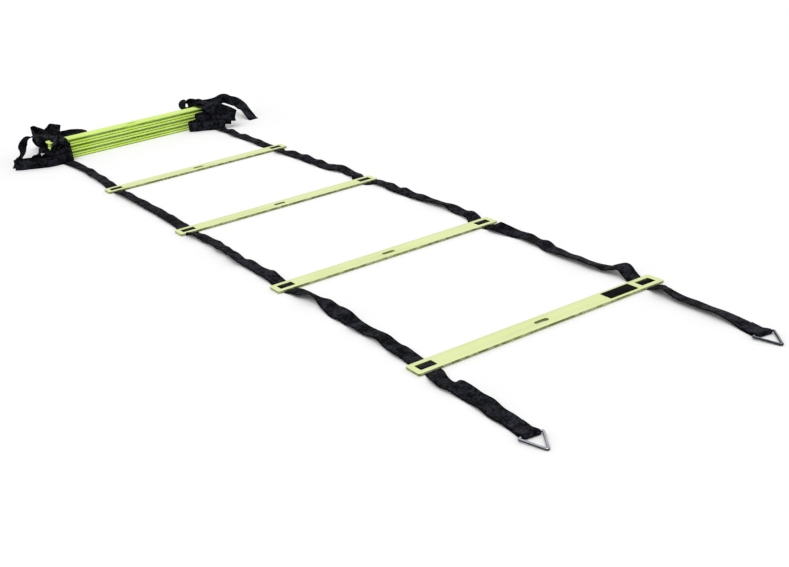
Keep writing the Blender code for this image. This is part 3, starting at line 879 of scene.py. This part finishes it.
def buildRing(side):
    # A triangle of round wire, its bar in the tail's loop and its tip on the floor
    wire = tail["wire"] / 2
    x, y, slope = tailEnd(side)
    turn = math.atan2(slope, 1.0)
    droop = math.asin((tail["bar"] - wire) / ringSize["height"])
    up = Vector((0, -math.sin(droop), math.cos(droop)))
    spots = []
    for point in triangleLine():
        level = Vector((point.x, point.y * math.cos(droop), point.y * math.sin(droop)))
        spots.append(Vector((
            x + level.x * math.cos(turn) - level.y * math.sin(turn),
            y + level.x * math.sin(turn) + level.y * math.cos(turn),
            tail["bar"] + level.z,
        )))
    stations = []
    for i, spot in enumerate(spots):
        heading = (spots[(i + 1) % len(spots)] - spots[i - 1]).normalized()
        sideways = heading.cross(up).normalized()
        addStation(stations, spot, sideways, sideways.cross(heading))
    angles = [2 * math.pi * k / ringSize["sides"] for k in range(ringSize["sides"])]
    circle = [(wire * math.cos(a), wire * math.sin(a)) for a in angles]
    shape = sweep(stations, circle, closed=True, turn=steelFinish["turn"])
    node = "ring_" + side
    keep(shape, side + "Ring", [steel[side]], node, [node])


stitch = {
    "length": 2.6 * mm,
    "width": 0.75 * mm,
    "height": 0.5 * mm,
    "pitch": 3.3 * mm,
    "count": 7,
    "rows": ((15.5 * mm, 3.55 * mm), (19 * mm, 3.4 * mm), (33 * mm, 3.25 * mm)),
}


def buildStitches(side):
    # Rows of thread across the tail where its end is sewn down
    x, y, slope = tailEnd(side)
    heading, level = tailWays(slope)
    shape = bmesh.new()
    for back, z in stitch["rows"]:
        for k in range(stitch["count"]):
            out = (k - (stitch["count"] - 1) / 2) * stitch["pitch"]
            place = Vector((x, y, z)) - heading * back + level * out
            made = bmesh.ops.create_uvsphere(shape, u_segments=8, v_segments=6, radius=0.5)
            for vert in made["verts"]:
                a, b, c = vert.co
                vert.co = place + level * (a * stitch["length"]) + heading * (b * stitch["width"])
                vert.co.z += c * stitch["height"]
    bmesh.ops.recalc_face_normals(shape, faces=shape.faces)
    keep(shape, side + "Stitches", [thread], "near_tail_" + side, [])


for side in sides:
    buildTail(side)
    buildRing(side)
    buildStitches(side)
print("tails and rings made")

# The stack in mm, slat by slat from the lowest: the strap's height under a slat's edge, the
# slat's underside, and how far the strap lies across and the slat along
stack = {
    "y": (ladder["base"] - 1) * strap["pitch"],  # in metres
    "levels": (0.75, 10.75, 14.35, 24.35, 27.95, 37.95, 41.55),
    "bottoms": (1.8, 6.7, 15.4, 20.3, 29.0, 33.9, 42.6),
    "across": (0, 1.25, -1.25, 2, -0.75, 1.5, -2),
    "along": (-8.16, -5.1, -6.46, -2.04, -3.4, 1.02, 2.72),
    "over": (2.25, 0.75),  # the strap's height above the underside, on every other slat
    "window": (17.45, 12, 7.9),  # from the slat's middle, where the strap stays low
    "crest": 4.6,
    "step": 1.6 * mm,
}
# Which way the band lies at a row: the direction across it
lies = {
    "flat": (1, 0, 0), "edge": (0, 0, 1), "half": (1, 0, 1), "fall": (1, 0, -1),
    "skew": (0.6, -1, 0), "slant": (1, -0.8, 0), "lean": (0, -0.3, 1), "rising": (1, -0.6, 0.8),
    "tipped": (0.8, 0, 0.8), "bank": (1, 0.1, 0.35), "tilt": (0.45, 0, 1),
}
# The folded bays, in mm: outwards from the middle, along from the stack, up
foldRows = {
    ("left", 0): [
        (193, 40, 2, "flat"), (191, 90, 4, "flat"), (192, 140, 6, "flat"),
        (196, 172, 12, "flat"), (198, 178, 20, "flat"), (199, 170, 27, "flat"),
        (197, 130, 24, "flat"), (194, 80, 17, "flat"), (193, 40, 11.5, "flat"),
    ],
    ("left", 1): [
        (191, -30, 11, "half"), (185, -36, 12, "edge"), (179, -40, 12.5, "edge"),
        (176, -45, 13, "edge"), (177, -51, 13, "edge"), (185, -57, 13, "edge"),
        (203, -62, 13, "edge"), (226, -62, 12.6, "edge"), (250, -53, 12.6, "edge"),
        (280, -34, 12.6, "edge"), (302, -18, 12.6, "edge"), (307, -11, 12.6, "edge"),
        (301, -7, 12.8, "edge"), (280, -20, 13, "edge"), (250, -40, 14, "edge"),
        (226, -51, 15, "edge"), (208, -50, 15, "half"), (196, -38, 14.3, "flat"),
    ],
    ("left", 2): [
        (193, 40, 15, "flat"), (182, 86, 20, "flat"), (168, 118, 30, "bank"),
        (157, 140, 44, "bank"), (151, 150, 51, "bank"), (149, 158, 52, "bank"),
        (152, 165, 48, "bank"), (164, 166, 38, "half"), (184, 158, 30, "edge"),
        (204, 140, 30, "edge"), (212, 126, 31, "edge"), (209, 116, 31, "edge"),
        (196, 104, 30, "edge"), (185, 84, 28, "half"), (190, 58, 27, "flat"),
        (193, 36, 25, "flat"),
    ],
    ("left", 3): [
        (191, -30, 25, "half"), (185, -35, 30, "edge"), (179, -39, 32, "edge"),
        (176, -44, 31, "edge"), (178, -50, 30, "edge"), (186, -55, 28, "edge"),
        (203, -59, 25, "edge"), (224, -58, 25, "half"), (240, -50, 33, "half"),
        (250, -38, 36, "fall"), (257, -34, 24, "fall"), (260, -37, 12, "fall"),
        (252, -42, 12, "fall"), (238, -44, 18, "fall"), (218, -44, 24, "half"),
        (197, -36, 28, "flat"),
    ],
    ("left", 4): [
        (190, 36, 29, "flat"), (170, 48, 34, "half"), (142, 50, 36, "edge"),
        (120, 49, 37, "edge"), (106, 53, 29, "edge"), (113, 58, 33, "edge"),
        (136, 66, 38, "edge"), (156, 80, 36, "edge"), (182, 110, 38, "edge"),
        (198, 136, 46, "edge"), (208, 150, 50, "edge"), (213, 146, 50, "edge"),
        (208, 112, 44, "half"), (198, 52, 38.5, "flat"),
    ],
    ("left", 5): [
        (191, -33, 41, "flat"), (189, -33, 48, "flat"), (188, -22, 50, "flat"),
        (187, 0, 49, "flat"), (188, 16, 49.5, "flat"), (191, 25, 52, "flat"),
        (195, 12, 54, "flat"), (201, -12, 52, "fall"), (210, -32, 44, "fall"),
        (222, -46, 32, "fall"), (234, -54, 18, "fall"), (240, -52, 11, "fall"),
        (236, -46, 15, "fall"), (222, -42, 28, "fall"), (207, -38, 38, "fall"),
        (197, -31, 41.5, "flat"),
    ],
    ("right", 0): [
        (195, 40, 2, "flat"), (205, 75, 4, "flat"), (222, 105, 6, "flat"),
        (234, 125, 10, "flat"), (237, 128, 16, "flat"), (233, 122, 21, "flat"),
        (220, 98, 20, "flat"), (204, 68, 16, "flat"), (195, 40, 11.5, "flat"),
    ],
    ("right", 1): [
        (190, -31, 11, "half"), (176, -35, 12.5, "edge"), (148, -37, 12.8, "edge"),
        (132, -41, 13, "edge"), (128, -48, 13, "edge"), (134, -56, 13, "edge"),
        (162, -76, 13, "edge"), (190, -97, 13, "tilt"), (203, -105, 13.5, "tilt"),
        (206, -99, 13.5, "tilt"), (194, -78, 14, "edge"), (181, -56, 15, "edge"),
        (183, -44, 15, "half"), (191, -34, 14.3, "flat"),
    ],
    ("right", 2): [
        (195, 38, 15, "flat"), (206, 72, 19, "flat"), (222, 100, 24, "flat"),
        (230, 114, 29, "flat"), (231, 116, 34, "flat"), (227, 110, 37, "flat"),
        (214, 88, 34, "flat"), (202, 60, 28, "flat"), (195, 38, 25, "flat"),
    ],
    ("right", 3): [
        (188, -30, 25, "half"), (172, -36, 28, "edge"), (156, -42, 29, "edge"),
        (148, -49, 29, "edge"), (156, -57, 28, "edge"), (190, -80, 25, "edge"),
        (210, -100, 23, "tilt"), (219, -108, 22, "tilt"), (223, -104, 22, "tilt"),
        (214, -84, 24, "edge"), (202, -56, 28, "edge"), (196, -42, 29, "half"),
        (193, -34, 28, "flat"),
    ],
    ("right", 4): [
        (190, 36, 29, "flat"), (184, 52, 31, "flat"), (174, 64, 33, "skew"),
        (165, 68, 38, "skew"), (163, 64, 46, "skew"), (168, 57, 51, "skew"),
        (178, 52, 51, "lean"), (191, 50, 47, "lean"), (203, 46, 44, "half"),
        (203, 38, 41, "half"), (197, 30, 39, "flat"),
    ],
    ("right", 5): [
        (191, -33, 41, "flat"), (189, -33, 48, "flat"), (188, -22, 50, "flat"),
        (187, 0, 49, "flat"), (187, 16, 49.5, "flat"), (189, 25, 52, "flat"),
        (194, 14, 54, "flat"), (200, -14, 53, "flat"), (207, -38, 50, "half"),
        (217, -72, 44, "edge"), (226, -100, 36, "tilt"), (230, -112, 31, "tilt"),
        (227, -118, 30, "tilt"), (218, -106, 31, "tilt"), (208, -82, 34, "edge"),
        (201, -58, 38, "edge"), (197, -42, 41, "half"), (194, -31, 41.5, "flat"),
    ],
}


def ribbon(side, rows):
    # Stations along rows of (outwards, along, up, how it lies) beside the stack
    sign = sides[side]
    keys = []
    for x, y, z, lie in rows:
        across = Vector(lies[lie]).normalized()
        keys.append((
            sign * x * mm, firstY + stack["y"] + y * mm, z * mm, sign * across.x, across.y, across.z
        ))
    stations = []
    for key, place, heading in walk(flow(keys, stack["step"])):
        across = Vector(key[3:])
        across = (across - heading * across.dot(heading)).normalized()
        addStation(stations, place, across, across.cross(heading))
    return stations


def stackedWindow(i, sense):
    # The strap's way across stacked slat i, from one long edge to the other
    over = stack["bottoms"][i] + stack["over"][i % 2]
    ends = [(out, stack["levels"][i]) for out in stack["window"]] + [(stack["crest"], over)]
    way = [(-out, z) for out, z in ends] + [(0, over)] + ends[::-1]
    return [(sense * out + stack["along"][i], z) for out, z in way]


def buildFold(side, i):
    # The strap of one stacked bay, through the window of the slat above it
    sense = 1 if i % 2 == 0 else -1
    number = i + ladder["base"]
    low, high = stack["levels"][i:i + 2]
    below, here = (strap["x"] / mm + sides[side] * stack["across"][k] for k in (i, i + 1))
    rows = [(below, sense * stack["window"][0] + stack["along"][i], low, "flat")]
    rows += foldRows[side, i]
    rows += [(here, y, z, "flat") for y, z in stackedWindow(i + 1, -sense)]
    body = "stack_base" if i == 0 else slatNode(number)
    bends = (body, slatNode(number + 1), (0, 0, low * mm), (0, 0, high * mm))
    keep(
        sweep(ribbon(side, rows), section), "%sFold%02d" % (side, number), [webbing], None,
        ["strap_%s_bay_%02d" % (side, number)], bends,
    )


# A far tail's rows, as the folded bays' are
farTailRows = {
    "left": [
        (193, 20.2, 41.55, "flat"), (194, 36, 43, "flat"), (200, 58, 47, "flat"),
        (214, 76, 50, "skew"), (238, 80, 49, "slant"), (256, 70, 42, "slant"),
        (267, 58, 31, "slant"), (273, 48, 22, "skew"), (279, 40, 13, "skew"),
        (287, 29, 4.2, "flat"), (294, 16, 1.0, "flat"), (297, 9, 0.9, "flat"),
    ],
    "right": [
        (193, 20.2, 41.55, "flat"), (195, 32, 43, "flat"), (203, 42, 45, "rising"),
        (220, 44, 41, "lean"), (246, 42, 42, "lean"), (268, 36, 46, "edge"),
        (281, 27, 39, "edge"), (288, 8, 36, "tipped"), (290, -12, 31, "tipped"),
        (291, -39, 22, "flat"), (292, -58, 11, "flat"), (294, -72, 1.6, "flat"),
        (294.5, -78, 0.8, "flat"),
    ],
}
farTailReach = 9 * mm


def buildFarTail(side):
    # The strap's free far end, over the hinge in its middle
    name = "far_tail_%s_" % side
    hinge = axes[name + "lift"][0]
    reach = sides[side] * farTailReach
    keep(
        sweep(ribbon(side, farTailRows[side]), section), side + "FarTail", [webbing], None,
        [name + "root", name + "end"],
        (slatNode(ladder["slats"]), name + "end", (hinge - reach, 0, 0), (hinge + reach, 0, 0)),
    )


for side in sides:
    for i in range(ladder["slats"] - ladder["base"]):
        buildFold(side, i)
    buildFarTail(side)
print("stack folds made")

# Soft studio light over a white floor
studio = {
    "sky": 0.74,
    "sun": 1.25,
    "softness": 50.0,
    "sunTurn": (0.42, -0.30, 0.0),
    "floor": 0.93,
    "floorSize": 12.0,
    "floorDrop": 0.2 * mm,
}


def lightStudio():
    world = bpy.data.worlds.new("studio")
    scene.world = world
    world.use_nodes = True
    backdrop = world.node_tree.nodes["Background"]
    backdrop.inputs["Color"].default_value = rgb(1.0, 1.0, 1.0)
    backdrop.inputs["Strength"].default_value = studio["sky"]
    light = bpy.data.lights.new("overhead", "SUN")
    light.energy = studio["sun"]
    light.angle = math.radians(studio["softness"])
    lamp = bpy.data.objects.new("overhead", light)
    scene.collection.objects.link(lamp)
    lamp.rotation_euler = studio["sunTurn"]
    scene.view_settings.view_transform = "Standard"


def buildFloor():
    shape = bmesh.new()
    bmesh.ops.create_grid(shape, x_segments=1, y_segments=1, size=studio["floorSize"])
    for vert in shape.verts:
        vert.co.z = -studio["floorDrop"]
    mesh = bpy.data.meshes.new("floor")
    shape.to_mesh(mesh)
    shape.free()
    floor = bpy.data.objects.new("floor", mesh)
    scene.collection.objects.link(floor)
    tone = studio["floor"]
    paint = Paint("floorWhite")
    paint.set(Base_Color=rgb(tone, tone, tone), Roughness=0.9, Specular_IOR_Level=0.1)
    mesh.materials.append(paint.material)


lightStudio()
buildFloor()
print("studio made")
